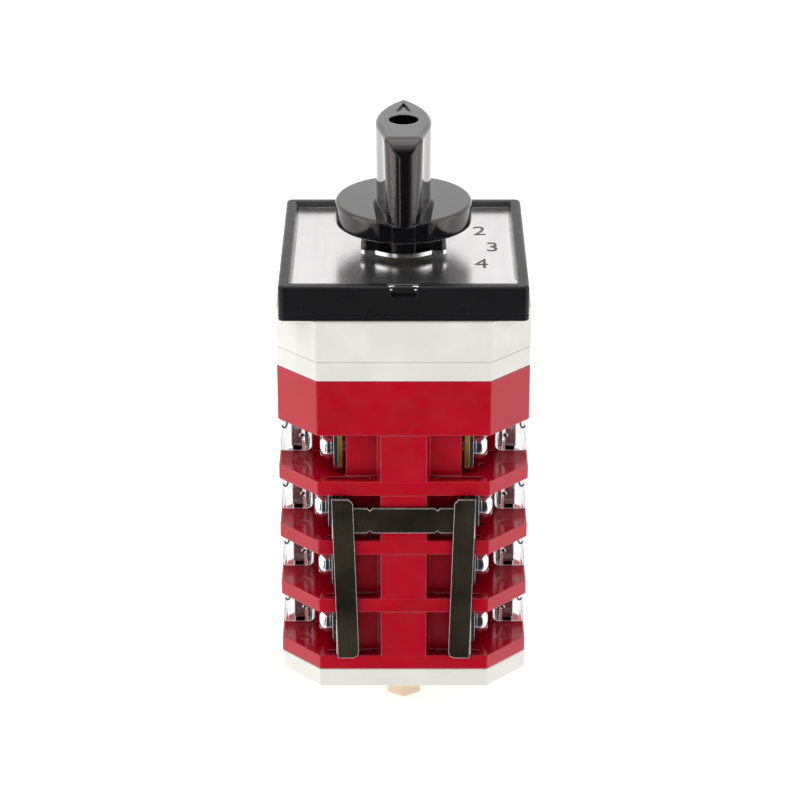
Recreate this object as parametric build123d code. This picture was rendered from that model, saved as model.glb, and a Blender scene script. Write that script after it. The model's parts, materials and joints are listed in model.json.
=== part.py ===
from build123d import *
import math
import os

# Rotary cam changeover switch for a panel. The origin is on the shaft axis, at the plane where the panel
# meets the detent housing. +Z runs out of the panel towards the user and -Y is the side that faces down
# when the dial is read. Every length is in millimetres.

# Dial and bezel
PLATE = 64.0
BEZEL_TOP = 9.3
BEZEL_BORDER = 2.6
BEZEL_CORNER = 1.6
BEZEL_FLOOR = 3.0
DIAL_SEAT = 7.0
DIAL_THICK = 0.5
COVER_TOP = 9.0
COVER_THICK = 1.0
SCREW_SPACING = 48.0
PANEL_HOLE_R = 2.1

# Octagonal stack
BODY = 66.0
FACE_HALF = 22.5
BODY_CORNER = 0.8
HOUSING_BOTTOM = -11.1
DETENT_COVER_BOTTOM = -16.5
SPACER_BOTTOM = -32.0
STAGES = 4
STAGE_PITCH = 17.4
FLANGE = 4.15
END_PLATE = 5.2
EDGE = 0.35

# Shaft and knob
SHAFT_FLATS = 9.2
SHAFT_BORE_R = 5.8
SHAFT_TOP = 27.0
TAIL_LENGTH = 20.3
RUNNING_GAP = 0.05
COLLAR_BOTTOM = 10.2
DISC_BOTTOM = 15.5
DISC_TOP = 21.3
DISC_R = 17.9
BLADE_TOP = 43.0
KNOB_HOLE_R = 3.9
KNOB_HOLE_FLOOR = 30.0

# Stage cavity, centred on the shaft
CAM_R = 10.5
CAM_CAVITY_R = 11.6
CHANNEL_HALF = 5.0
CHANNEL_END = 31.2
ARC_HALF = 13.6
ARC_START = 13.8
ARC_END = 27.6

# Outside of a stage above its flange
COLUMN_HALF = 6.0
COLUMN_ROOT_HALF = 6.9
RECESS_Y = 29.2
CHAMBER_HALF = 15.1
BAY_Y = 14.0
COVER_X = 24.4

# Terminals
TERMINAL_Y = 24.0
BRASS_X = 16.0
BRASS_THICK = 1.2
LINK_THICK = 0.8
CLAMP_THICK = 1.1
WASHER_THICK = 0.7
HEAD_THICK = 3.0
SCREW_R = 2.2
LEG_Y = 16.4
LEG_THICK = 1.4
OPEN_GAP = 1.8
TIP_THICK = 0.8

# Fasteners through the stack
BOLT_X = 19.5
BOLT_Y = 11.0
BOLT_R = 1.95
BOLT_HOLE_R = 2.1

# Detent
STAR_R = 12.0
STAR_VALLEY = 0.9
POSITIONS_PER_TURN = 12
TURN = 120
DETENT_CAVITY_R = 17.4

STACK_BOTTOM = SPACER_BOTTOM - STAGES * STAGE_PITCH
END_PLATE_BOTTOM = STACK_BOTTOM - END_PLATE
HALF = BODY / 2
CORNERS = [(-1, -1), (1, -1), (-1, 1), (1, 1)]


def block(x0, x1, y0, y1, z0, z1):
    """A box between two corners."""
    return Pos((x0 + x1) / 2, (y0 + y1) / 2, (z0 + z1) / 2) * Box(x1 - x0, y1 - y0, z1 - z0)


def slab(sketch, z0, z1):
    """A flat outline raised from z0 to z1."""
    return extrude(Pos(0, 0, z0) * sketch, z1 - z0, dir=(0, 0, 1))


def post(radius, x, y, z0, z1):
    """An upright round bar."""
    return Pos(x, y, (z0 + z1) / 2) * Cylinder(radius, z1 - z0)


def bar_x(radius, x0, x1, y, z):
    """A round bar along X."""
    return Pos((x0 + x1) / 2, y, z) * Rot(0, 90, 0) * Cylinder(radius, abs(x1 - x0))


def hexagon(flats):
    """A hexagon with one corner towards -Y."""
    return Rot(0, 0, 90) * RegularPolygon(flats / math.sqrt(3), 6)


def octagon(inset=0.0):
    """The body outline: a square with its corners cut at 45 degrees."""
    half = HALF - inset
    face = FACE_HALF - inset * math.tan(math.radians(22.5))
    points = [(face, -half), (half, -face), (half, face), (face, half)]
    points += [(-x, -y) for x, y in points]
    outline = Polygon(*points, align=None)
    return fillet(outline.vertices(), BODY_CORNER)


def rounded_slab(outline, z0, z1, edge=EDGE):
    """A slab whose top and bottom rims are rounded."""
    body = slab(outline, z0, z1)
    rims = body.edges().group_by(Axis.Z)[0] + body.edges().group_by(Axis.Z)[-1]
    return fillet(rims, edge)


def stage_bottom(stage):
    return SPACER_BOTTOM - (stage + 1) * STAGE_PITCH


def chamber_middle(stage):
    """Half-way up the open part of a stage, where its contacts and terminals lie."""
    return stage_bottom(stage) + (FLANGE + STAGE_PITCH) / 2


def bolt_holes(z0, z1):
    return [post(BOLT_HOLE_R, sx * BOLT_X, sy * BOLT_Y, z0, z1) for sx, sy in CORNERS]


def link_layers(stage, sy):
    """How many links lie under a terminal's clamp: they join the front terminals of the lower stages."""
    if sy > 0 or stage == 0:
        return 0
    return 2 if stage == 1 else 1


def save(name, *solids):
    """One node's file: a single solid, or a group of identical pieces."""
    shape = solids[0] if len(solids) == 1 else Compound(children=list(solids))
    export_step(shape, f"parts/{name}.step")


# Dial side

def bezel_frame():
    half = PLATE / 2
    body = slab(RectangleRounded(PLATE, PLATE, BEZEL_CORNER), 0, BEZEL_TOP)
    body = fillet(body.edges().group_by(Axis.Z)[-1], 0.9)
    window = PLATE - 2 * BEZEL_BORDER
    body -= slab(RectangleRounded(window, window, 0.6), DIAL_SEAT, BEZEL_TOP + 1)
    hollow = window - 6.0
    body -= slab(RectangleRounded(hollow, hollow, 1.0), BEZEL_FLOOR, DIAL_SEAT)
    body -= post(SHAFT_BORE_R + 1.2, 0, 0, -1, BEZEL_FLOOR + 1)
    for sx, sy in CORNERS:
        body -= post(PANEL_HOLE_R + 0.5, sx * SCREW_SPACING / 2, sy * SCREW_SPACING / 2, -1, BEZEL_FLOOR + 1)
    body -= rim_groove()
    notch_half = 4.3
    body -= block(-notch_half, notch_half, -half + 0.5, -half + BEZEL_BORDER, 7.9, BEZEL_TOP + 1)
    mouth = Polygon((-3.8, 0), (3.8, 0), (3.0, -1.6), (-3.0, -1.6), align=None)
    face = Plane(origin=(0, -half, 7.9), x_dir=(1, 0, 0), z_dir=(0, -1, 0))
    body -= extrude(face * mouth, 1.4, dir=(0, 1, 0))
    return body


def rim_groove():
    """A shallow shadow line round the outer wall, a little above the panel."""
    outside = slab(Rectangle(PLATE + 2, PLATE + 2), 1.2, 1.7)
    return outside - slab(RectangleRounded(PLATE - 0.7, PLATE - 0.7, BEZEL_CORNER), 1.1, 1.8)


def dial_plate():
    side = PLATE - 2 * BEZEL_BORDER - 0.3
    return slab(RectangleRounded(side, side, 0.5), DIAL_SEAT, DIAL_SEAT + DIAL_THICK) - post(7, 0, 0, 0, 20)


def dial_cover():
    """Clear cover held above the dial by a short skirt round its rim."""
    side = PLATE - 2 * BEZEL_BORDER - 0.2
    body = slab(RectangleRounded(side, side, 0.5), DIAL_SEAT + DIAL_THICK, COVER_TOP)
    inner = side - 1.6
    body -= slab(RectangleRounded(inner, inner, 0.4), 0, COVER_TOP - COVER_THICK)
    return body - post(7, 0, 0, 0, 20)


def hub_outline(inset=0.0):
    """A round hub that a rectangle crosses, which gives it four ears."""
    return Circle(11.4 - inset) + RectangleRounded(22.6 - 2 * inset, 17.4 - 2 * inset, 1.4)


def hub_ring():
    body = slab(hub_outline(), COVER_TOP, COLLAR_BOTTOM - 0.1)
    return body - post(7, 0, 0, 0, 20)


# Knob side

def blade_outline(front_y, nose_length, front_half, wide_half, tip_y):
    """Teardrop with a pointed tip at +Y and a round nose at -Y."""
    tip = (0, tip_y)
    back = front_y + nose_length
    left = Spline((-front_half, back), (-wide_half, 0.0), tip, tangents=[(-0.10, 1), (0.75, 0.72)])
    right = Spline(tip, (wide_half, 0.0), (front_half, back), tangents=[(0.75, -0.72), (-0.10, -1)])
    nose = ThreePointArc((front_half, back), (0, front_y), (-front_half, back))
    return make_face(left + right + nose)


def blade():
    """The grip: its sides and top run smoothly over a rounded nose."""
    lower = Pos(0, 0, DISC_BOTTOM) * blade_outline(-17.85, 3.6, 4.3, 7.0, 16.9)
    upper = Pos(0, 0, BLADE_TOP) * blade_outline(-17.85, 3.8, 5.0, 7.3, 17.5)
    grip = loft([lower, upper])
    low, high, front, back = DISC_BOTTOM, BLADE_TOP, -DISC_R, DISC_R
    side_view = Polygon((front, low), (back, low), (back, high), (front, high), align=None)
    nose = side_view.vertices().sort_by(Axis.Y)[-2:].sort_by(Axis.X)[0]
    side_view = fillet(nose, 5.0)
    seen_from_side = Plane(origin=(-10, 0, 0), x_dir=(0, 1, 0), z_dir=(1, 0, 0))
    grip = grip & extrude(seen_from_side * side_view, 20, dir=(1, 0, 0))
    rounded = [face for face in grip.faces() if face.geom_type == GeomType.CYLINDER]
    rounded.append(grip.faces().sort_by(Axis.Z)[-1])
    rims = [edge for face in rounded for edge in face.edges() if edge.geom_type != GeomType.LINE]
    return fillet(rims, 1.2)


def disc_pockets():
    """A sloped step on each side of the blade, and an upright flute below it in the rim."""
    pockets = []
    for side in (-1, 1):
        plan = Polygon((0, 19), (8.3, 19), (8.3, 2), (6.6, -19), (0, -19), align=None)
        wedge = slab(plan, DISC_TOP - 1.3, DISC_TOP + 2)
        slope = Pos(8.3, 0, DISC_TOP) * Rot(0, -14, 0) * Pos(-10, 0, -5) * Box(20, 50, 10)
        flute = block(3.0, 6.7, -19, -16.8, DISC_BOTTOM - 1, DISC_TOP + 1)
        pocket = (wedge - slope) + flute
        pockets.append(pocket if side > 0 else mirror(pocket, Plane.YZ))
    return pockets


def handle():
    disc = slab(Circle(DISC_R), DISC_BOTTOM, DISC_TOP)
    disc = fillet(disc.edges().group_by(Axis.Z)[-1], 0.8)
    for pocket in disc_pockets():
        disc -= pocket
    body = disc + blade()
    body -= post(KNOB_HOLE_R, 0, 0, KNOB_HOLE_FLOOR, BLADE_TOP + 1)
    body -= post(2.3, 0, 0, SHAFT_TOP - 1, KNOB_HOLE_FLOOR + 1)
    body -= slab(hexagon(SHAFT_FLATS + 2 * RUNNING_GAP), DISC_BOTTOM - 1, SHAFT_TOP + 0.2)
    arrow = Polygon((0, 13.6), (-2.1, 6.4), (2.1, 6.4), align=None)
    return body - slab(arrow, BLADE_TOP - 0.6, BLADE_TOP + 1)


def handle_collar():
    """Toothed hub below the disc: a notch on each side of every tooth."""
    body = slab(hub_outline(0.4), COLLAR_BOTTOM, DISC_BOTTOM)
    for sy in (-1, 1):
        for sx in (-1, 1):
            near, far = sorted((sy * 8.0, sy * 12.0))
            left, right = sorted((sx * 3.0, sx * 7.1))
            body -= block(left, right, near, far, COLLAR_BOTTOM - 1, DISC_BOTTOM + 1)
    return body - slab(hexagon(SHAFT_FLATS + 2 * RUNNING_GAP), COLLAR_BOTTOM - 1, DISC_BOTTOM + 1)


def handle_screw():
    """Cross-slot screw that holds the knob down on the shaft."""
    head = post(3.4, 0, 0, KNOB_HOLE_FLOOR, KNOB_HOLE_FLOOR + 2.4)
    head = fillet(head.edges().group_by(Axis.Z)[-1], 0.7)
    top = KNOB_HOLE_FLOOR + 2.4
    head -= block(-2.0, 2.0, -0.4, 0.4, top - 1.3, top + 1)
    head -= block(-0.4, 0.4, -2.0, 2.0, top - 1.3, top + 1)
    return head + post(1.95, 0, 0, SHAFT_TOP - 11, KNOB_HOLE_FLOOR)


def drive_shaft():
    bottom = END_PLATE_BOTTOM - TAIL_LENGTH
    body = slab(hexagon(SHAFT_FLATS), bottom, SHAFT_TOP)
    body = chamfer(body.edges().group_by(Axis.Z)[0], 0.6)
    return body - post(2.0, 0, 0, SHAFT_TOP - 12, SHAFT_TOP + 1)


# Detent

def detent_housing():
    body = rounded_slab(octagon(), HOUSING_BOTTOM, 0)
    ceiling = -4.0
    body -= post(DETENT_CAVITY_R, 0, 0, HOUSING_BOTTOM - 1, ceiling)
    body -= block(-25.5, 25.5, -3.8, 3.8, HOUSING_BOTTOM - 1, -6.1)
    body -= post(SHAFT_BORE_R, 0, 0, -5, 1)
    for sx, sy in CORNERS:
        body -= post(PANEL_HOLE_R, sx * SCREW_SPACING / 2, sy * SCREW_SPACING / 2, -9, 1)
        body -= post(BOLT_HOLE_R, sx * BOLT_X, sy * BOLT_Y, HOUSING_BOTTOM - 1, -6.5)
        body -= slab(Pos(sx * BOLT_X, sy * BOLT_Y) * hexagon(7.2), HOUSING_BOTTOM - 1, -8.0)
    return body


def detent_cover():
    body = rounded_slab(octagon(), DETENT_COVER_BOTTOM, HOUSING_BOTTOM)
    body -= post(SHAFT_BORE_R, 0, 0, DETENT_COVER_BOTTOM - 1, HOUSING_BOTTOM + 1)
    for hole in bolt_holes(DETENT_COVER_BOTTOM - 1, HOUSING_BOTTOM + 1):
        body -= hole
    return body


def star_wheel():
    """Twelve shallow valleys, one every 30 degrees, and a stop lug on top."""
    step = 360 / POSITIONS_PER_TURN
    wheel = post(STAR_R, 0, 0, -10.7, -6.3)
    for position in range(POSITIONS_PER_TURN):
        angle = math.radians(position * step)
        reach = STAR_R + 2.6 - STAR_VALLEY
        wheel -= post(2.6, reach * math.cos(angle), reach * math.sin(angle), -12, -5)
    wheel += post(9.0, 0, 0, -6.3, -4.3)
    lug = block(0, 15.0, -1.8, 1.8, -5.9, -4.3)
    wheel += Rot(0, 0, 150) * lug
    return wheel - slab(hexagon(SHAFT_FLATS + 2 * RUNNING_GAP), -12, 0)


def stop_ring():
    """Its inner lug fills all but the sector that the star wheel's lug turns through."""
    z0, z1 = -5.95, -4.05
    ring = post(DETENT_CAVITY_R - 0.05, 0, 0, z0, z1) - post(13.2, 0, 0, z0 - 1, z1 + 1)
    spare = math.degrees(math.asin(1.8 / 13.2)) + 1.2
    start, end = 30 - spare, 30 + TURN + spare
    reach = 30
    steps = 6
    arc = [math.radians(start + (end - start) * i / steps) for i in range(steps + 1)]
    sector = Polygon((0, 0), *[(reach * math.cos(a), reach * math.sin(a)) for a in arc], align=None)
    return ring - (slab(sector, z0 - 1, z1 + 1) & post(15.8, 0, 0, z0 - 1, z1 + 1))


def detent_plunger(side):
    """A slide with a round nose that drops into the star wheel's valleys."""
    nose_r = 2.4
    tip = STAR_R + 0.15
    body = post(nose_r, tip + nose_r, 0, -10.6, -6.3)
    body += block(tip + nose_r, 18.5, -3.6, 3.6, -10.6, -6.3)
    body -= bar_x(1.5, 16.0, 19.0, 0, -8.45)
    return body if side > 0 else mirror(body, Plane.YZ)


def coil_spring(length, mean_r, wire_r, turns):
    """A helical spring along +Z from the origin."""
    path = Helix(length / turns, length, mean_r)
    start = Plane(origin=path @ 0, z_dir=path % 0)
    return sweep(start * Circle(wire_r), path=path, is_frenet=True)


def detent_spring(side):
    wire_r = 0.3
    spring = coil_spring(25.3 - 18.7 - 2 * wire_r, 2.0, wire_r, 5)
    return Pos(side * (18.7 + wire_r), 0, -8.45) * Rot(0, side * 90, 0) * spring


# Stack

def spacer_block():
    body = rounded_slab(octagon(), SPACER_BOTTOM, DETENT_COVER_BOTTOM)
    floor = SPACER_BOTTOM + 3.0
    body -= slab(octagon(3.0), floor, DETENT_COVER_BOTTOM + 1)
    body += post(SHAFT_BORE_R + 2.2, 0, 0, floor, DETENT_COVER_BOTTOM)
    for sx, sy in CORNERS:
        body += post(BOLT_HOLE_R + 2.2, sx * BOLT_X, sy * BOLT_Y, floor, DETENT_COVER_BOTTOM)
    body -= post(SHAFT_BORE_R, 0, 0, SPACER_BOTTOM - 1, 0)
    for hole in bolt_holes(SPACER_BOTTOM - 1, 0):
        body -= hole
    return body


def chamber_outline():
    """Plan of a stage above its flange: front and rear columns, recesses and terminal bays."""
    quarter = [
        (COLUMN_HALF, -HALF + 0.05),
        (COLUMN_ROOT_HALF, -RECESS_Y),
        (CHAMBER_HALF, -RECESS_Y),
        (CHAMBER_HALF, -BAY_Y),
        (COVER_X, -BAY_Y),
    ]
    half = quarter + [(x, -y) for x, y in reversed(quarter)]
    return Polygon(*half, *[(-x, y) for x, y in reversed(half)], align=None)


def flange_details(top, small_hole):
    """Slots beside the columns, shallow ejector marks, and on some stages one small round hole."""
    cuts = []
    for sx, sy in CORNERS:
        slot_x = sx * 14.6
        slot_y = sy * 30.6
        cuts.append(block(slot_x - 5.75, slot_x + 5.75, slot_y - 0.7, slot_y + 0.7, top - 2.2, top + 1))
        cuts.append(post(1.65, sx * 26.9, sy * 22.4, top - 0.2, top + 1))
    if small_hole:
        cuts.append(post(0.85, 20.6, -22.9, top - 2.0, top + 1))
        cuts.append(post(0.85, -20.6, 22.9, top - 2.0, top + 1))
    return cuts


def stage_cavity(z0, z1, middle):
    """Room for the cam, two contact carriages in their channels and their arc chambers."""
    cuts = [post(CAM_CAVITY_R, 0, 0, z0, z1)]
    cuts.append(block(-CHANNEL_HALF, CHANNEL_HALF, -CHANNEL_END, CHANNEL_END, z0, z1))
    for sy in (-1, 1):
        near, far = sorted((sy * ARC_START, sy * ARC_END))
        cuts.append(block(-ARC_HALF, ARC_HALF, near, far, z0, z1))
        leg = sorted((sy * (LEG_Y - 0.1), sy * (LEG_Y + LEG_THICK + 0.1)))
        cuts.append(block(-CHAMBER_HALF - 1, CHAMBER_HALF + 1, leg[0], leg[1], middle - 4.1, middle + 4.1))
    return cuts


def contact_stage(stage):
    z0 = stage_bottom(stage)
    floor = z0 + FLANGE
    top = z0 + STAGE_PITCH
    body = rounded_slab(octagon(), z0, floor)
    body += slab(chamber_outline(), floor - 0.5, top)
    for cut in flange_details(floor, small_hole=stage < 2):
        body -= cut
    for cut in stage_cavity(floor, top + 1, chamber_middle(stage)):
        body -= cut
    body -= post(SHAFT_BORE_R, 0, 0, z0 - 1, floor + 1)
    for hole in bolt_holes(z0 - 1, top + 1):
        body -= hole
    return body


def end_plate():
    body = rounded_slab(octagon(), END_PLATE_BOTTOM, STACK_BOTTOM)
    body -= post(SHAFT_BORE_R, 0, 0, END_PLATE_BOTTOM - 1, STACK_BOTTOM + 1)
    for hole in bolt_holes(END_PLATE_BOTTOM - 1, STACK_BOTTOM + 1):
        body -= hole
    for sx, sy in CORNERS:
        body -= post(3.8, sx * BOLT_X, sy * BOLT_Y, END_PLATE_BOTTOM - 1, END_PLATE_BOTTOM + 3.2)
    return body


def tie_bolt(sx, sy):
    seat = END_PLATE_BOTTOM + 3.2
    x, y = sx * BOLT_X, sy * BOLT_Y
    body = post(BOLT_R, x, y, seat - 0.5, -6.8) + post(3.5, x, y, seat - 2.6, seat)
    body -= block(x - 2.2, x + 2.2, y - 0.4, y + 0.4, seat - 3.6, seat - 1.4)
    return body - block(x - 0.4, x + 0.4, y - 2.2, y + 2.2, seat - 3.6, seat - 1.4)


def tie_nut(sx, sy):
    nut = slab(Pos(sx * BOLT_X, sy * BOLT_Y) * hexagon(7.0), HOUSING_BOTTOM, -8.1)
    return nut - post(BOLT_R + 0.02, sx * BOLT_X, sy * BOLT_Y, HOUSING_BOTTOM - 1, -7)


def cam(stage):
    """A disc with one notch under each carriage at the handle positions where its contacts close."""
    floor = stage_bottom(stage) + FLANGE
    body = post(CAM_R, 0, 0, floor + 0.4, floor + 12.6)
    for facing in (-90, 90):
        angle = math.radians(facing + 30 * (stage + 1))
        notch = post(2.4, (CAM_R + 0.6) * math.cos(angle), (CAM_R + 0.6) * math.sin(angle), floor, floor + 13)
        body -= notch
    return body - slab(hexagon(SHAFT_FLATS + 2 * RUNNING_GAP), floor - 1, floor + 14)


# Contacts

def carriage(stage, sy):
    """A slide with a round nose on the cam, a window for its bridge and a seat for its spring."""
    z = chamber_middle(stage)
    nose_r = 2.2
    nose_y = CAM_R + 0.15 + nose_r
    half = CHANNEL_HALF - 0.15
    body = post(nose_r, 0, -nose_y, z - 5.5, z + 5.5)
    body += block(-half, half, -27.0, -nose_y - 0.8, z - 5.5, z + 5.5)
    bridge_y = bridge_rear()
    body -= block(-half - 1, half + 1, -bridge_y - 1.55, -bridge_y + 0.05, z - 2.55, z + 2.55)
    body -= Pos(0, -26.0, z) * Rot(90, 0, 0) * Cylinder(3.2, 2.2)
    return body if sy < 0 else mirror(body, Plane.XZ)


def bridge_rear():
    """Distance from the axis to the bridge's inner face, with the contacts open."""
    return LEG_Y + LEG_THICK + TIP_THICK + OPEN_GAP + TIP_THICK


def bridge(stage, sy):
    z = chamber_middle(stage)
    rear = bridge_rear()
    body = block(-13.0, 13.0, -rear - 1.5, -rear, z - 2.5, z + 2.5)
    for sx in (-1, 1):
        body += block(sx * 11.0 - 1.5, sx * 11.0 + 1.5, -rear, -rear + TIP_THICK, z - 2.0, z + 2.0)
    return body if sy < 0 else mirror(body, Plane.XZ)


def return_spring(stage, sy):
    wire_r = 0.35
    seat = 24.9
    spring = coil_spring(CHANNEL_END - seat - 2 * wire_r - 0.1, 2.6, wire_r, 4)
    body = Pos(0, -seat - wire_r - 0.05, chamber_middle(stage)) * Rot(90, 0, 0) * spring
    return body if sy < 0 else mirror(body, Plane.XZ)


# Terminals

def terminal(stage, sx, sy):
    """Brass plate in the bay, a leg through the chamber wall and the fixed contact tip."""
    z = chamber_middle(stage)
    plate = block(BRASS_X, BRASS_X + BRASS_THICK, -28.5, -LEG_Y, z - 4.8, z + 5.0)
    leg = block(9.2, BRASS_X + BRASS_THICK, -LEG_Y - LEG_THICK, -LEG_Y, z - 4.0, z + 4.0)
    tip = block(9.5, 12.5, -LEG_Y - LEG_THICK - TIP_THICK, -LEG_Y - LEG_THICK, z - 2.0, z + 2.0)
    body = plate + leg + tip - bar_x(SCREW_R + 0.05, BRASS_X - 2, BRASS_X + 3, -TERMINAL_Y, z)
    if sx < 0:
        body = mirror(body, Plane.YZ)
    return body if sy < 0 else mirror(body, Plane.XZ)


def clamp_x(stage, sy):
    """Where a terminal's clamp plate starts, outside any links under it."""
    return BRASS_X + BRASS_THICK + LINK_THICK * link_layers(stage, sy)


def clamp_plate(stage, sx, sy):
    x = clamp_x(stage, sy)
    z = chamber_middle(stage)
    side = Plane(origin=(x, -TERMINAL_Y, z), x_dir=(0, 1, 0), z_dir=(1, 0, 0))
    plate = extrude(side * RectangleRounded(9.6, 10.8, 1.2), CLAMP_THICK, dir=(1, 0, 0))
    plate -= bar_x(SCREW_R + 0.05, x - 1, x + 3, -TERMINAL_Y, z)
    return in_corner(plate, sx, sy)


def spring_washer(stage, sx, sy):
    """Split washer between the clamp plate and the screw's head."""
    x = clamp_x(stage, sy) + CLAMP_THICK
    z = chamber_middle(stage)
    ring = bar_x(4.0, x, x + WASHER_THICK, -TERMINAL_Y, z)
    ring -= bar_x(SCREW_R + 0.05, x - 1, x + 2, -TERMINAL_Y, z)
    ring -= block(x - 1, x + 2, -TERMINAL_Y - 0.25, -TERMINAL_Y + 0.25, z, z + 6)
    return in_corner(ring, sx, sy)


def terminal_screw(stage, sx, sy):
    """Pan head with a cross slot, reached from the side."""
    x = clamp_x(stage, sy) + CLAMP_THICK + WASHER_THICK
    z = chamber_middle(stage)
    head = bar_x(4.1, x, x + HEAD_THICK, -TERMINAL_Y, z)
    head = fillet(head.edges().group_by(Axis.X)[-1], 2.3)
    end = x + HEAD_THICK
    slot = block(end - 1.5, end + 1, -TERMINAL_Y - 3.2, -TERMINAL_Y + 3.2, z - 0.5, z + 0.5)
    slot += block(end - 1.5, end + 1, -TERMINAL_Y - 0.5, -TERMINAL_Y + 0.5, z - 3.2, z + 3.2)
    head -= Pos(0, -TERMINAL_Y, z) * Rot(28, 0, 0) * Pos(0, TERMINAL_Y, -z) * slot
    shank = bar_x(SCREW_R, CHAMBER_HALF + 0.2, x + 0.5, -TERMINAL_Y, z)
    return in_corner(head + shank, sx, sy)


def in_corner(shape, sx, sy):
    """A piece made for the front right bay, moved to one of the four bays."""
    if sx < 0:
        shape = mirror(shape, Plane.YZ)
    return shape if sy < 0 else mirror(shape, Plane.XZ)


def side_cover(stage, side):
    """Clear cover over the middle of one side: two end walls, a thick outer wall and a rib."""
    z0 = stage_bottom(stage) + FLANGE + 0.05
    z1 = stage_bottom(stage) + STAGE_PITCH - 0.05
    inner_x = COVER_X + 0.1
    outer_x = HALF - 0.2
    body = block(inner_x, outer_x, -BAY_Y, BAY_Y, z0, z1)
    body = fillet(body.edges().filter_by(Axis.Y).group_by(Axis.X)[0].sort_by(Axis.Z)[0], 1.6)
    body = fillet(body.edges().filter_by(Axis.Y).group_by(Axis.X)[-1], 0.5)
    body -= block(inner_x + 1.0, 30.0, -BAY_Y + 1.0, BAY_Y - 1.0, z0 + 1.0, z1 + 1)
    body += block(26.4, 27.2, -BAY_Y + 0.5, BAY_Y - 0.5, z0, z1)
    return body if side > 0 else mirror(body, Plane.YZ)


# Links across the front terminals

def link_tab(stage, side, layer):
    """The lug of a link that goes back under a terminal's clamp."""
    x = BRASS_X + BRASS_THICK + LINK_THICK * layer
    z = chamber_middle(stage)
    tab = block(x, x + LINK_THICK, -HALF - 1.6, -19.2, z - 5.2, z + 5.2)
    tab -= bar_x(SCREW_R + 0.1, x - 1, x + 3, -TERMINAL_Y, z)
    return tab if side > 0 else mirror(tab, Plane.YZ)


def comb_link(side):
    """Upright strip in front of the flanges, with a tab to each of the three lower stages."""
    z_top = stage_bottom(0) - 0.2
    z_low = STACK_BOTTOM + FLANGE + 0.3
    width = 5.6
    top_out, low_out = 18.9, 17.6
    strip = Polygon(
        (top_out - width, z_top - 1.2), (top_out - width + 1.2, z_top), (top_out, z_top), (low_out, z_low),
        (low_out - width + 1.6, z_low), (low_out - width + 0.4, z_low + 0.5), (low_out - width, z_low + 1.8),
        align=None)
    front = Plane(origin=(0, -HALF - 1.0, 0), x_dir=(1, 0, 0), z_dir=(0, -1, 0))
    body = extrude(front * strip, LINK_THICK, dir=(0, -1, 0))
    if side < 0:
        body = mirror(body, Plane.YZ)
    for stage in range(1, STAGES):
        body += link_tab(stage, side, 1 if stage == 1 else 0)
    return body


def cross_link():
    """Flat strip over the front column that joins the two sides of the second stage."""
    z = chamber_middle(1) - 0.2
    half_high = 3.6
    strip = Polygon((-18.0, -half_high), (18.0, -half_high), (18.0, half_high), (-18.0, half_high), align=None)
    for sx in (-1, 1):
        for sz in (-1, 1):
            strip -= Pos(sx * 8.9, sz * half_high) * Rot(0, 0, 45) * Rectangle(1.0, 1.0)
    front = Plane(origin=(0, -HALF - 0.1, z), x_dir=(1, 0, 0), z_dir=(0, -1, 0))
    body = extrude(front * strip, LINK_THICK, dir=(0, -1, 0))
    for side in (-1, 1):
        x = BRASS_X + BRASS_THICK
        tab = block(x, x + LINK_THICK, -HALF - 0.9, -19.2, z - half_high, z + half_high)
        tab -= bar_x(SCREW_R + 0.1, x - 1, x + 3, -TERMINAL_Y, chamber_middle(1))
        body += tab if side > 0 else mirror(tab, Plane.YZ)
    return body


def write_all():
    os.makedirs("parts", exist_ok=True)
    stages = range(STAGES)
    faces = {"front": -1, "rear": 1}
    sides = {"left": -1, "right": 1}
    bays = [(stage, sx, sy) for stage in stages for sx, sy in CORNERS]
    save("bezel_frame", bezel_frame())
    save("dial_plate", dial_plate())
    save("dial_cover", dial_cover())
    save("hub_ring", hub_ring())
    save("handle", handle())
    save("handle_collar", handle_collar())
    save("handle_screw", handle_screw())
    save("drive_shaft", drive_shaft())
    save("detent_housing", detent_housing())
    save("detent_cover", detent_cover())
    save("star_wheel", star_wheel())
    save("stop_ring", stop_ring())
    save("spacer_block", spacer_block())
    save("end_plate", end_plate())
    save("tie_bolts", *[tie_bolt(sx, sy) for sx, sy in CORNERS])
    save("tie_nuts", *[tie_nut(sx, sy) for sx, sy in CORNERS])
    for name, side in sides.items():
        save(f"detent_plunger_{name}", detent_plunger(side))
        save(f"detent_spring_{name}", detent_spring(side))
        save(f"terminals_{name}", *[terminal(s, sx, sy) for s, sx, sy in bays if sx == side])
        save(f"side_covers_{name}", *[side_cover(stage, side) for stage in stages])
        save(f"{name}_link", comb_link(side))
    save("cross_link", cross_link())
    save("clamp_plates", *[clamp_plate(*bay) for bay in bays])
    save("spring_washers", *[spring_washer(*bay) for bay in bays])
    save("terminal_screws", *[terminal_screw(*bay) for bay in bays])
    for stage in stages:
        number = stage + 1
        save(f"contact_stage_{number}", contact_stage(stage))
        save(f"cam_{number}", cam(stage))
        save(f"return_springs_{number}", *[return_spring(stage, sy) for sy in faces.values()])
        for face, sy in faces.items():
            save(f"carriage_{face}_{number}", carriage(stage, sy))
            save(f"contact_bridge_{face}_{number}", bridge(stage, sy))


write_all()
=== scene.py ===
import json
import math

import bmesh
import bpy
from mathutils import Matrix, Vector


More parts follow.
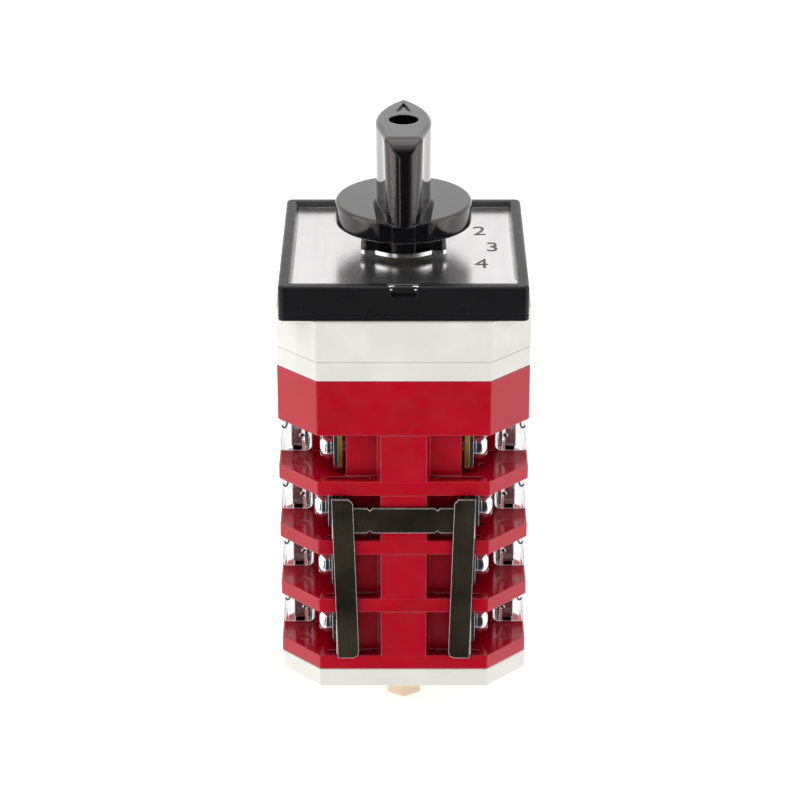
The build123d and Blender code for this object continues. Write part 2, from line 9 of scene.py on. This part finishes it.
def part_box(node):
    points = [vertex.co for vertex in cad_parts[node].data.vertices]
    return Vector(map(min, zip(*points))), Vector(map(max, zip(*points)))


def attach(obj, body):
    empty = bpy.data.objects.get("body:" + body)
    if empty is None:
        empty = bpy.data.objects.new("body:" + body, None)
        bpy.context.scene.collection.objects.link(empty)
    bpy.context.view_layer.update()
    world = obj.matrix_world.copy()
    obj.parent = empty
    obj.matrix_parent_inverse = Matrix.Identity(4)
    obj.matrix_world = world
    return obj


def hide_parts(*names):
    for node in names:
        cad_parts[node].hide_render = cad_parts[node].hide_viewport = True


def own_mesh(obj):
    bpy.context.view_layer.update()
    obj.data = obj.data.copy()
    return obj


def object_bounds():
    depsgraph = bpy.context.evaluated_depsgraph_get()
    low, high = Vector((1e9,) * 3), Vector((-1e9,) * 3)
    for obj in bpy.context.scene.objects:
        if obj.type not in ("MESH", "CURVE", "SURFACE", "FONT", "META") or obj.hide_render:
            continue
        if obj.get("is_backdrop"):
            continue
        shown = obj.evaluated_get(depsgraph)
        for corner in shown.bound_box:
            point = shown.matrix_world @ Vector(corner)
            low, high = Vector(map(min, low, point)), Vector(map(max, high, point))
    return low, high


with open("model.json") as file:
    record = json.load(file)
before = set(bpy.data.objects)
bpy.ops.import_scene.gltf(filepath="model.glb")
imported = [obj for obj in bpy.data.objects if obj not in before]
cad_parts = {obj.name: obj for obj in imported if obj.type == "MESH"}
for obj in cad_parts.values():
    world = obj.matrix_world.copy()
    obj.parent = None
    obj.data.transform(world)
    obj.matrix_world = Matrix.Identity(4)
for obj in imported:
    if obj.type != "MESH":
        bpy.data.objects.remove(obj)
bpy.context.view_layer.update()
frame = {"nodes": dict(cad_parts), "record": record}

# Every length here is in metres, in the CAD frame: +Z out of the panel, -Y towards the camera.
MM = 0.001
ROOT = "switch_body"
NODES = frame["nodes"]
STAGES = 4
STAGE_PITCH = 17.4 * MM

# Dial numerals
NUMERALS = 5
NUMERAL_STEP = 30
NUMERAL_CIRCLE = 23.4 * MM
NUMERAL_SIZE = 9.0 * MM
NUMERAL_NARROWING = 0.85
INK_HALF_THICKNESS = 0.02 * MM
INK_LIFT = 0.025 * MM

# Springs and the travel of the slides in front of them
DETENT_COIL = {"mean_r": 2.0 * MM, "wire_r": 0.3 * MM, "turns": 5}
DETENT_TRAVEL = 0.9 * MM
RETURN_COIL = {"mean_r": 2.6 * MM, "wire_r": 0.35 * MM, "turns": 4}
RETURN_COIL_START = 24.95 * MM
CONTACT_TRAVEL = 0.8 * MM
COIL_POINTS_PER_TURN = 12

# Clips of the dial cover: x and y of the bends in one clip's wire, in mm
CLIP_BENDS = [(2.3, -31.6), (3.4, -31.75), (4.05, -30.9), (3.6, -29.9), (2.4, -29.75)]
CLIP_HEIGHT = 8.55 * MM
WIRE_RADIUS = 0.26 * MM

# Side covers, in mm: the ring's outline is (height, radius) and the latch's hook is (x, y, z over the
# cover's top)
COVER_TOP = -32.05 * MM
RING_PLACE_X = 27.1 * MM
RING_PLACE_Y = -13.98 * MM
RING_DROP = 8.8 * MM
RING_OUTLINE = [(0, 0.35), (0.22, 0.40), (0.30, 0.55), (0.20, 0.68), (0, 0.72)]
LATCH_HOOK = [(31.2, -13.8, -4.0), (31.2, -13.9, -5.8), (31.8, -13.9, -6.5), (32.4, -13.8, -5.9)]

# The distance between the bands of a wave texture of scale 1
WAVE_PERIOD = 0.314

FLOOR_HALF_WIDTH = 3.0


# Shader building

class Shader:
    """A material under construction, with short ways to add the nodes that every finish here uses."""

    def __init__(self, name):
        self.material = bpy.data.materials.new(name)
        self.material.use_nodes = True
        self.tree = self.material.node_tree
        self.bsdf = self.tree.nodes["Principled BSDF"]
        self.place = self.add("ShaderNodeTexCoord").outputs["Object"]

    def add(self, kind, **settings):
        node = self.tree.nodes.new(kind)
        for key, value in settings.items():
            setattr(node, key, value)
        return node

    def join(self, source, target):
        self.tree.links.new(source, target)

    def fixed(self, **values):
        """Even values, set on the shader's own sockets."""
        for key, value in values.items():
            self.bsdf.inputs[key.replace("_", " ")].default_value = value

    def stretched(self, scale):
        """The piece's own coordinates, scaled by a different amount along each axis."""
        node = self.add("ShaderNodeMapping")
        node.inputs["Scale"].default_value = scale
        self.join(self.place, node.inputs["Vector"])
        return node.outputs["Vector"]

    def noise(self, size, detail=3.0, roughness=0.55, coordinates=None):
        """Noise whose blotches are about `size` metres across."""
        node = self.add("ShaderNodeTexNoise")
        node.inputs["Scale"].default_value = 1.0 / size
        node.inputs["Detail"].default_value = detail
        node.inputs["Roughness"].default_value = roughness
        self.join(coordinates or self.place, node.inputs["Vector"])
        return node.outputs["Fac"]

    def between(self, value, low, high, start=0.3, end=0.7):
        """A number that goes from low to high as value goes from start to end."""
        node = self.add("ShaderNodeMapRange")
        for key, number in (("From Min", start), ("From Max", end), ("To Min", low), ("To Max", high)):
            node.inputs[key].default_value = number
        self.join(value, node.inputs["Value"])
        return node.outputs["Result"]

    def blend(self, factor, first, second):
        """A colour between two; each is a colour or a socket."""
        node = self.add("ShaderNodeMix", data_type="RGBA")
        self.join(factor, node.inputs["Factor"])
        for socket, colour in ((node.inputs[6], first), (node.inputs[7], second)):
            if isinstance(colour, bpy.types.NodeSocket):
                self.join(colour, socket)
            else:
                socket.default_value = (*colour, 1.0)
        return node.outputs[2]

    def product(self, first, second):
        node = self.add("ShaderNodeMath", operation="MULTIPLY")
        for socket, value in zip(node.inputs, (first, second)):
            if isinstance(value, bpy.types.NodeSocket):
                self.join(value, socket)
            else:
                socket.default_value = value
        return node.outputs[0]

    def edge_normal(self, radius):
        node = self.add("ShaderNodeBevel", samples=6)
        node.inputs["Radius"].default_value = radius
        return node.outputs["Normal"]

    def edges(self, radius):
        """1 along sharp edges, 0 on open faces."""
        rounded = self.edge_normal(radius)
        flat = self.add("ShaderNodeNewGeometry").outputs["Normal"]
        dot = self.add("ShaderNodeVectorMath", operation="DOT_PRODUCT")
        self.join(rounded, dot.inputs[0])
        self.join(flat, dot.inputs[1])
        return self.between(dot.outputs["Value"], 1.0, 0.0, 0.80, 0.99)

    def openness(self, reach):
        """1 on open faces, down to 0 deep in narrow hollows; it masks painted shade."""
        node = self.add("ShaderNodeAmbientOcclusion", samples=6)
        node.inputs["Distance"].default_value = reach
        return self.between(node.outputs["AO"], 0.0, 1.0, 0.15, 0.75)

    def bump(self, height, depth, strength=1.0, normal=None):
        """Raises the surface by about `depth` metres where height is 1."""
        node = self.add("ShaderNodeBump")
        node.inputs["Strength"].default_value = strength
        node.inputs["Distance"].default_value = depth
        self.join(height, node.inputs["Height"])
        if normal is not None:
            self.join(normal, node.inputs["Normal"])
        self.join(node.outputs["Normal"], self.bsdf.inputs["Normal"])

    def colour(self, socket):
        self.join(socket, self.bsdf.inputs["Base Color"])

    def roughness(self, socket):
        self.join(socket, self.bsdf.inputs["Roughness"])


def shade(colour, amount):
    return tuple(min(1.0, channel * amount) for channel in colour)


# Finishes

def moulded_plastic(name, colour, edge_colour, rough, specular, painted_crevice_shade=None):
    """Injection-moulded plastic: faint blotches, a fine satin texture and rounded edges with a painted pale
    highlight along them.
    """
    s = Shader(name)
    blotches = s.noise(0.012, 2.0)
    base = s.blend(s.between(blotches, 0.0, 1.0), shade(colour, 0.94), shade(colour, 1.06))
    # Painted shade: narrow hollows are darkened towards the given shade colour.
    if painted_crevice_shade:
        base = s.blend(s.openness(0.012), painted_crevice_shade, base)
    # Painted highlight: the pale edge colour is laid along the edges, broken up by noise.
    painted_edge_highlight = s.product(s.edges(0.00022), s.between(s.noise(0.003), 0.6, 1.0))
    s.colour(s.blend(painted_edge_highlight, base, edge_colour))
    s.roughness(s.between(s.noise(0.004, 4.0), rough - 0.05, rough + 0.07))
    s.fixed(Specular_IOR_Level=specular)
    s.bump(s.noise(0.0006, 2.0), 0.00001, 0.35, s.edge_normal(0.00028))
    return s.material


def glossy_black(name, colour, rough):
    """Polished black moulding with a trace of handling marks in its gloss."""
    s = Shader(name)
    s.colour(s.blend(s.between(s.noise(0.01), 0.0, 1.0), shade(colour, 0.8), shade(colour, 1.3)))
    marks = s.noise(0.0016, 6.0, 0.65)
    s.roughness(s.between(marks, rough, rough + 0.07, 0.35, 0.75))
    s.fixed(Specular_IOR_Level=0.55, Specular_Tint=(1.0, 0.93, 0.91, 1.0))
    s.bump(s.noise(0.0025, 1.0), 0.000006, 0.2, s.edge_normal(0.00035))
    return s.material


def brushed_aluminium(name, colour):
    """Fine lines along Y, with a faint drift of tone across them."""
    s = Shader(name)
    lines = s.noise(1.0, 3.0, 0.7, s.stretched((1700.0, 40.0, 40.0)))
    drift = s.noise(1.0, 2.0, 0.5, s.stretched((160.0, 12.0, 12.0)))
    base = s.blend(s.between(lines, 0.0, 1.0, 0.2, 0.8), shade(colour, 0.93), shade(colour, 1.05))
    s.colour(s.blend(s.between(drift, 0.0, 0.35), base, shade(colour, 0.9)))
    s.roughness(s.between(lines, 0.22, 0.26))
    s.fixed(Metallic=1.0)
    s.bump(lines, 0.000001, 0.1)
    return s.material


def plated_steel(name, colour, rough, depth=0.00002):
    """Zinc-plated steel: bright, slightly mottled, with rounded, rubbed edges."""
    s = Shader(name)
    mottle = s.noise(0.0009, 5.0, 0.6)
    s.colour(s.blend(s.between(mottle, 0.0, 1.0), shade(colour, 0.8), shade(colour, 1.1)))
    s.roughness(s.between(s.noise(0.0005, 4.0), rough, rough + 0.16))
    s.fixed(Metallic=1.0)
    s.bump(s.noise(0.0012, 2.0), depth, 0.4, s.edge_normal(0.0002))
    return s.material


def dark_plated(name, colour, edge_colour):
    """Dark passivated sheet: a slow drift of olive tone, fine rolling lines and bright sheared edges."""
    s = Shader(name)
    clouds = s.noise(0.02, 2.0, 0.5)
    lines = s.noise(1.0, 2.0, 0.6, s.stretched((1500.0, 1500.0, 60.0)))
    base = s.blend(s.between(clouds, 0.0, 1.0), shade(colour, 0.35), shade(colour, 1.7))
    s.colour(s.blend(s.edges(0.00030), base, edge_colour))
    s.roughness(s.between(lines, 0.27, 0.29))
    s.fixed(Metallic=0.6)
    s.bump(lines, 0.000001, 0.2, s.edge_normal(0.00025))
    return s.material


def rolled_brass(name, colour, rib_pitch):
    """Brass with rolled ribs across it and a dull film in places."""
    s = Shader(name)
    wave = s.add("ShaderNodeTexWave", bands_direction="Z")
    wave.inputs["Scale"].default_value = WAVE_PERIOD / rib_pitch
    wave.inputs["Distortion"].default_value = 1.5
    wave.inputs["Detail"].default_value = 2.0
    s.join(s.place, wave.inputs["Vector"])
    ribs = wave.outputs["Fac"]
    film = s.noise(0.0018, 4.0, 0.6)
    base = s.blend(s.between(film, 0.0, 1.0), shade(colour, 0.75), shade(colour, 1.25))
    s.colour(s.blend(s.between(ribs, 0.55, 0.0, 0.0, 0.6), base, shade(colour, 0.25)))
    s.roughness(s.between(film, 0.40, 0.26))
    s.fixed(Metallic=1.0)
    s.bump(ribs, 0.00012, 0.7)
    return s.material


def clear_window(name, rim_highlight_strength):
    """Thin clear sheet: seen straight through, glossy at a slant, with a painted pale highlight along its
    edges.
    """
    s = Shader(name)
    through = s.add("ShaderNodeBsdfTransparent")
    haze = s.between(s.noise(0.003, 4.0), 0.0, 1.0)
    s.join(s.blend(haze, (0.95, 0.95, 0.96), (0.99, 0.99, 0.99)), through.inputs["Color"])
    # Painted highlight: near the edges the base colour turns pale and the sheet turns opaque to show it.
    rim = s.edges(0.00025)
    s.colour(s.blend(rim, s.blend(haze, (0.05, 0.05, 0.05), (0.10, 0.10, 0.10)), (0.88, 0.88, 0.89)))
    s.roughness(s.between(s.noise(0.002, 5.0), 0.03, 0.10))
    s.bump(s.noise(0.004, 2.0), 0.00001, 0.2)
    slant = s.add("ShaderNodeMath", operation="POWER")
    s.join(s.add("ShaderNodeLayerWeight").outputs["Facing"], slant.inputs[0])
    slant.inputs[1].default_value = 4.0
    # How much the glossy surface shows: glancing gloss, and the painted rim highlight.
    film = s.add("ShaderNodeMath", operation="MAXIMUM")
    s.join(s.between(slant.outputs[0], 0.01, 0.6, 0.0, 1.0), film.inputs[0])
    s.join(s.product(rim, rim_highlight_strength), film.inputs[1])
    mixed = s.add("ShaderNodeMixShader")
    s.join(film.outputs[0], mixed.inputs["Fac"])
    s.join(through.outputs["BSDF"], mixed.inputs[1])
    s.join(s.bsdf.outputs["BSDF"], mixed.inputs[2])
    s.join(mixed.outputs["Shader"], s.tree.nodes["Material Output"].inputs["Surface"])
    return s.material


def clear_plastic(name):
    """Clear moulded plastic: glass-like, with faint flow marks and slightly uneven gloss."""
    s = Shader(name)
    flow = s.noise(0.004, 3.0)
    s.colour(s.blend(flow, (0.96, 0.96, 0.97), (1.0, 1.0, 1.0)))
    s.roughness(s.between(s.noise(0.002, 4.0), 0.0, 0.03))
    s.fixed(Transmission_Weight=1.0, IOR=1.40)
    s.bump(flow, 0.00001, 0.2, s.edge_normal(0.0002))
    return s.material


def printed_ink(name, colour):
    """Screen-printed ink: dark, slightly uneven in tone and gloss."""
    s = Shader(name)
    specks = s.noise(0.0006, 4.0)
    s.colour(s.blend(s.between(specks, 0.0, 1.0), shade(colour, 0.7), shade(colour, 1.4)))
    s.roughness(s.between(specks, 0.4, 0.6))
    s.bump(specks, 0.000004, 0.3)
    return s.material


FINISHES = {
    "knob_black": glossy_black("knob_black", (0.004, 0.004, 0.005), 0.04),
    # The second colour of each moulded_plastic finish is a painted highlight along its edges.
    "bezel_black": moulded_plastic("bezel_black", (0.010, 0.010, 0.011), (0.05, 0.05, 0.055), 0.3, 0.15),
    "clear_plastic": clear_plastic("clear_plastic"),
    "dial_metal": brushed_aluminium("dial_metal", (0.90, 0.88, 0.86)),
    "bright_ring": plated_steel("bright_ring", (0.90, 0.90, 0.91), 0.06),
    "beige_plastic": moulded_plastic("beige_plastic", (0.70, 0.69, 0.635), (0.86, 0.85, 0.80), 0.34, 0.3),
    # Red plastic: a painted pink highlight on its edges and painted shade in its hollows.
    "red_plastic": moulded_plastic("red_plastic", (0.41, 0.0015, 0.013), (0.95, 0.22, 0.26), 0.15, 0.42,
                                   painted_crevice_shade=(0.14, 0.0005, 0.003)),
    "terminal_brass": rolled_brass("terminal_brass", (1.0, 0.57, 0.12), 0.0005),
    "screw_plating": plated_steel("screw_plating", (0.74, 0.74, 0.76), 0.03, 0.00008),
    "link_plating": dark_plated("link_plating", (0.050, 0.039, 0.026), (1.0, 0.98, 0.90)),
    "spring_steel": plated_steel("spring_steel", (0.60, 0.60, 0.62), 0.2),
    "fastener_steel": plated_steel("fastener_steel", (0.62, 0.62, 0.63), 0.2),
    "shaft_plastic": moulded_plastic("shaft_plastic", (0.80, 0.62, 0.44), (0.92, 0.80, 0.66), 0.42, 0.35),
    "cam_plastic": moulded_plastic("cam_plastic", (0.84, 0.84, 0.80), (0.9, 0.9, 0.88), 0.4, 0.4),
    "carriage_plastic": moulded_plastic("carriage_plastic", (0.78, 0.75, 0.66), (0.88, 0.86, 0.8), 0.45,
                                        0.35),
    "bridge_copper": rolled_brass("bridge_copper", (0.85, 0.43, 0.24), 0.0012),
}


def paint_cad_nodes():
    """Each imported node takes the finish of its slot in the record."""
    for part in frame["record"]["subparts"]:
        piece = NODES[part["node"]]
        piece.data.materials.clear()
        piece.data.materials.append(FINISHES[part["material_slot"]])
    # The dial cover shows the painted rim highlight at strength 0.8.
    NODES["dial_cover"].data.materials[0] = clear_window("clear_window", 0.8)


# Small pieces on the CAD parts

def add_piece(name, mesh, slot, material=None):
    """A finished mesh as a piece that rides on the root body."""
    piece = bpy.data.objects.new(name, mesh)
    bpy.context.scene.collection.objects.link(piece)
    mesh.materials.clear()
    mesh.materials.append(material or FINISHES[slot])
    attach(piece, ROOT)
    return piece


def dial_numbers():
    """Upright numerals 0 to 4, printed every 30 degrees clockwise from +Y."""
    ink = printed_ink("dial_ink", (0.012, 0.012, 0.014))
    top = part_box("dial_plate")[1].z
    for position in range(NUMERALS):
        angle = math.radians(90 - NUMERAL_STEP * position)
        curve = bpy.data.curves.new(f"numeral_{position}", "FONT")
        curve.body = str(position)
        curve.size = NUMERAL_SIZE
        curve.align_x = "CENTER"
        curve.align_y = "CENTER"
        curve.extrude = INK_HALF_THICKNESS
        text = bpy.data.objects.new("numeral", curve)
        bpy.context.scene.collection.objects.link(text)
        bpy.context.view_layer.update()
        mesh = bpy.data.meshes.new_from_object(text)
        bpy.data.objects.remove(text)
        centre = Vector((NUMERAL_CIRCLE * math.cos(angle), NUMERAL_CIRCLE * math.sin(angle), top + INK_LIFT))
        mesh.transform(Matrix.Translation(centre) @ Matrix.Diagonal((NUMERAL_NARROWING, 1.0, 1.0, 1.0)))
        add_piece(f"dial_numeral_{position}", mesh, "bezel_black", material=ink)


def rod(name, points, radius, slot, material=None):
    """A round bar with rounded bends along a list of points, as one mesh."""
    curve = bpy.data.curves.new(name, "CURVE")
    curve.dimensions = "3D"
    curve.bevel_depth = radius
    curve.bevel_resolution = 3
    curve.use_fill_caps = True
    spline = curve.splines.new("BEZIER")
    spline.bezier_points.add(len(points) - 1)
    for knot, point in zip(spline.bezier_points, points):
        knot.co = point
        knot.handle_left_type = "AUTO"
        knot.handle_right_type = "AUTO"
    bar = bpy.data.objects.new("bar", curve)
    bpy.context.scene.collection.objects.link(bar)
    bpy.context.view_layer.update()
    mesh = bpy.data.meshes.new_from_object(bar)
    bpy.data.objects.remove(bar)
    mesh.shade_smooth()
    return add_piece(name, mesh, slot, material)


def lathed(name, centre, axis, outline, slot, material):
    """A turned piece: outline is (distance along axis, radius) pairs."""
    builder = bmesh.new()
    steps = 32
    rings = []
    for height, radius in outline:
        ring = []
        for step in range(steps):
            angle = 2 * math.pi * step / steps
            ring.append(builder.verts.new((radius * math.cos(angle), radius * math.sin(angle), height)))
        rings.append(ring)
    for lower, upper in zip(rings, rings[1:]):
        for step in range(steps):
            following = (step + 1) % steps
            builder.faces.new((lower[step], lower[following], upper[following], upper[step]))
    builder.faces.new(list(reversed(rings[0])))
    builder.faces.new(rings[-1])
    mesh = bpy.data.meshes.new(name)
    builder.to_mesh(mesh)
    builder.free()
    mesh.shade_smooth()
    turn = Vector((0, 0, 1)).rotation_difference(Vector(axis)).to_matrix().to_4x4()
    mesh.transform(Matrix.Translation(centre) @ turn)
    return add_piece(name, mesh, slot, material)


def coil_spring(name, node, start, end, joint, travel, mean_r, wire_r, turns):
    """A coil from start to end in place of the CAD one."""
    along = Vector(end) - Vector(start)
    turned = Vector((0, 0, 1)).rotation_difference(along)
    steps = COIL_POINTS_PER_TURN * turns
    points = []
    for step in range(steps + 1):
        angle = 2 * math.pi * step / COIL_POINTS_PER_TURN
        height = wire_r + (along.length - 2 * wire_r) * step / steps
        point = Vector((mean_r * math.cos(angle), mean_r * math.sin(angle), height))
        points.append(Vector(start) + turned @ point)
    piece = rod(name, points, wire_r, "spring_steel")
    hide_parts(node)
    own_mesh(piece)


def springs():
    """Two coils behind the detent plungers, and two behind the contact carriages of each stage."""
    for group, side in (("left", -1), ("right", 1)):
        node = f"detent_spring_{group}"
        low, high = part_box(node)
        middle_z = (low.z + high.z) / 2
        inner, outer = sorted((abs(low.x), abs(high.x)))
        start, end = (side * inner, 0, middle_z), (side * outer, 0, middle_z)
        joint = f"detent_{group}_slide"
        coil_spring(f"detent_coil_{group}", node, start, end, joint, DETENT_TRAVEL, **DETENT_COIL)
    for stage in range(1, STAGES + 1):
        node = f"return_springs_{stage}"
        low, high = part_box(node)
        middle_z = (low.z + high.z) / 2
        for place, side, outer in (("front", -1, -low.y), ("rear", 1, high.y)):
            start, end = (0, side * RETURN_COIL_START, middle_z), (0, side * outer, middle_z)
            joint = f"contact_{place}_{stage}_slide"
            name = f"return_coil_{place}_{stage}"
            coil_spring(name, node, start, end, joint, CONTACT_TRAVEL, **RETURN_COIL)


def bezel_clips():
    """Two small C-shaped clips of the dial cover, in the notch at the middle of the bezel's front."""
    for side, name in ((-1, "left"), (1, "right")):
        points = [(side * x * MM, y * MM, CLIP_HEIGHT) for x, y in CLIP_BENDS]
        rod(f"cover_clip_{name}", points, WIRE_RADIUS, "bright_ring")


def cover_details():
    """On each clear side cover: a small ring low on its front wall and a dark latch near its top."""
    latch = moulded_plastic("cover_latch", (0.10, 0.09, 0.09), (0.5, 0.5, 0.5), 0.2, 0.6)
    ring = [(height * MM, radius * MM) for height, radius in RING_OUTLINE]
    for group, side in (("left", -1), ("right", 1)):
        for stage in range(STAGES):
            top = COVER_TOP - stage * STAGE_PITCH
            place = Vector((side * RING_PLACE_X, RING_PLACE_Y, top - RING_DROP))
            name = f"cover_ring_{group}_{stage + 1}"
            lathed(name, place, (0, -1, 0), ring, "clear_plastic", FINISHES["screw_plating"])
            hook = [(side * x * MM, y * MM, top + z * MM) for x, y, z in LATCH_HOOK]
            rod(f"cover_latch_{group}_{stage + 1}", hook, WIRE_RADIUS, "clear_plastic", latch)


# Studio

def aim(thing, target):
    thing.rotation_euler = (Vector(target) - thing.location).to_track_quat("-Z", "Y").to_euler()


def soft_light(name, location, target, width, height, power):
    data = bpy.data.lights.new(name, "AREA")
    data.shape = "RECTANGLE"
    data.size = width
    data.size_y = height
    data.energy = power
    lamp = bpy.data.objects.new(name, data)
    lamp.location = location
    bpy.context.scene.collection.objects.link(lamp)
    aim(lamp, target)


def studio_world():
    """White to the camera, soft to diffuse rays, and dark at the front but for a strip to mirrored ones."""
    world = bpy.data.worlds.new("studio")
    bpy.context.scene.world = world
    world.use_nodes = True
    tree = world.node_tree
    split = tree.nodes.new("ShaderNodeSeparateXYZ")
    tree.links.new(tree.nodes.new("ShaderNodeTexCoord").outputs["Generated"], split.inputs["Vector"])
    path = tree.nodes.new("ShaderNodeLightPath")
    background = tree.nodes["Background"]
    background.inputs["Color"].default_value = (1.0, 1.0, 1.0, 1.0)

    def ramp(axis, start, end, low, high):
        node = tree.nodes.new("ShaderNodeMapRange")
        node.interpolation_type = "SMOOTHSTEP"
        for key, number in (("From Min", start), ("From Max", end), ("To Min", low), ("To Max", high)):
            node.inputs[key].default_value = number
        tree.links.new(split.outputs[axis], node.inputs["Value"])
        return node.outputs["Result"]

    def choose(flag, otherwise, chosen):
        node = tree.nodes.new("ShaderNodeMix")
        tree.links.new(path.outputs[flag], node.inputs["Factor"])
        for socket, value in ((node.inputs[2], otherwise), (node.inputs[3], chosen)):
            if isinstance(value, float):
                socket.default_value = value
            else:
                tree.links.new(value, socket)
        return node.outputs[0]

    def total(first, second, operation):
        node = tree.nodes.new("ShaderNodeMath")
        node.operation = operation
        tree.links.new(first, node.inputs[0])
        tree.links.new(second, node.inputs[1])
        return node.outputs[0]

    soft = ramp("X", -1.0, 1.0, 0.72, 0.54)
    mirrored = ramp("Y", -0.85, -0.35, 0.03, 1.5)
    strip = total(ramp("X", -0.46, -0.42, 0.0, 1.6), ramp("X", -0.34, -0.30, 1.0, 0.0), "MULTIPLY")
    mirrored = total(mirrored, total(strip, ramp("Y", -0.6, -0.5, 1.0, 0.0), "MULTIPLY"), "ADD")
    lit = choose("Is Transmission Ray", choose("Is Glossy Ray", soft, mirrored), 1.0)
    tree.links.new(choose("Is Camera Ray", lit, 1.0), background.inputs["Strength"])


def studio_floor():
    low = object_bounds()[0].z
    mesh = bpy.data.meshes.new("studio_floor")
    half = FLOOR_HALF_WIDTH
    corners = [(-half, -half, low), (half, -half, low), (half, half, low), (-half, half, low)]
    mesh.from_pydata(corners, [], [(0, 1, 2, 3)])
    floor = bpy.data.objects.new("studio_floor", mesh)
    bpy.context.scene.collection.objects.link(floor)
    s = Shader("studio_floor")
    s.colour(s.blend(s.between(s.noise(0.4), 0.0, 1.0), (0.90, 0.90, 0.90), (0.93, 0.93, 0.93)))
    s.roughness(s.between(s.noise(0.05), 0.85, 0.95))
    s.fixed(Specular_IOR_Level=0.1, Emission_Color=(1.0, 1.0, 1.0, 1.0), Emission_Strength=0.35)
    mesh.materials.append(s.material)
    floor.visible_glossy = False
    floor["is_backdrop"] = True


def studio_camera():
    """Looks along +Y from 24.7 degrees above, from three quarters of a metre away."""
    elevation = math.radians(24.746)
    distance = 0.7461
    target = Vector((0, 0, -36.87 * MM))
    data = bpy.data.cameras.new("camera")
    data.sensor_width = 36.0
    data.lens = 123.97
    data.shift_x = -0.0045
    camera = bpy.data.objects.new("camera", data)
    camera.location = target + distance * Vector((0, -math.cos(elevation), math.sin(elevation)))
    bpy.context.scene.collection.objects.link(camera)
    aim(camera, target)
    bpy.context.scene.camera = camera


def studio():
    bpy.context.scene.view_settings.view_transform = "Standard"
    studio_world()
    studio_floor()
    middle = (0, 0, -0.04)
    soft_light("left_panel", (-0.9, -0.35, 0.15), middle, width=0.9, height=1.1, power=5)
    soft_light("right_panel", (0.9, -0.3, 0.15), middle, width=0.9, height=1.1, power=3.5)
    soft_light("top_panel", (0, 0.2, 1.1), middle, width=1.2, height=0.9, power=5)
    studio_camera()


paint_cad_nodes()
dial_numbers()
bezel_clips()
cover_details()
springs()
studio()
